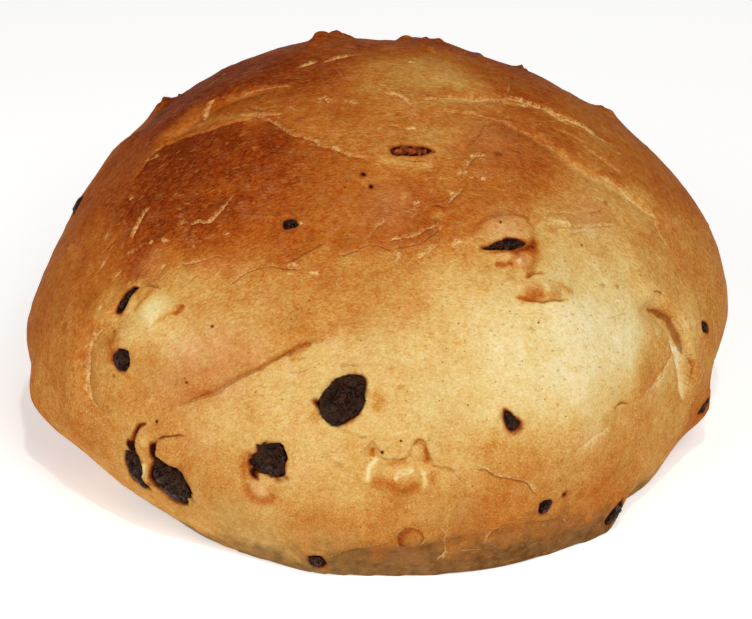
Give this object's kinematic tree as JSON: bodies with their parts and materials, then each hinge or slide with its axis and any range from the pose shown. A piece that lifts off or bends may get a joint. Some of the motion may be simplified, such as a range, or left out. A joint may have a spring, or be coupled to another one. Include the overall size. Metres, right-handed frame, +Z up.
{
  "type": "julekake",
  "caption": "Round julekake, a domed free-baked festive yeast loaf with a browned, folded crust and raisins sunk in its skin.",
  "frame": {"origin": "middle of the flat base, at the height of the surface that the loaf rests on", "axes": "+Z up, front of the loaf towards -Y, +X to the right when seen from the front"},
  "size_m": [0.2024, 0.1949, 0.109],
  "materials": {
    "crust": "baked egg-washed bread crust, golden to red-brown, soft low gloss, fine pores",
    "raisin": "dark wrinkled raisin skin with a moist gloss"
  },
  "bodies": {
    "root": {"loaf": "crust", "raisin_01": "raisin", "raisin_02": "raisin", "raisin_03": "raisin", "raisin_04": "raisin", "raisin_05": "raisin", "raisin_06": "raisin", "raisin_07": "raisin", "raisin_08": "raisin", "raisin_09": "raisin", "raisin_10": "raisin", "raisin_11": "raisin", "raisin_12": "raisin", "raisin_13": "raisin", "raisin_14": "raisin", "raisin_15": "raisin", "raisin_16": "raisin", "raisin_17": "raisin", "raisin_18": "raisin", "raisin_19": "raisin", "raisin_20": "raisin", "raisin_21": "raisin", "raisin_22": "raisin", "raisin_23": "raisin", "raisin_24": "raisin", "raisin_25": "raisin", "raisin_26": "raisin", "raisin_27": "raisin", "raisin_28": "raisin"}
  },
  "joints": []
}
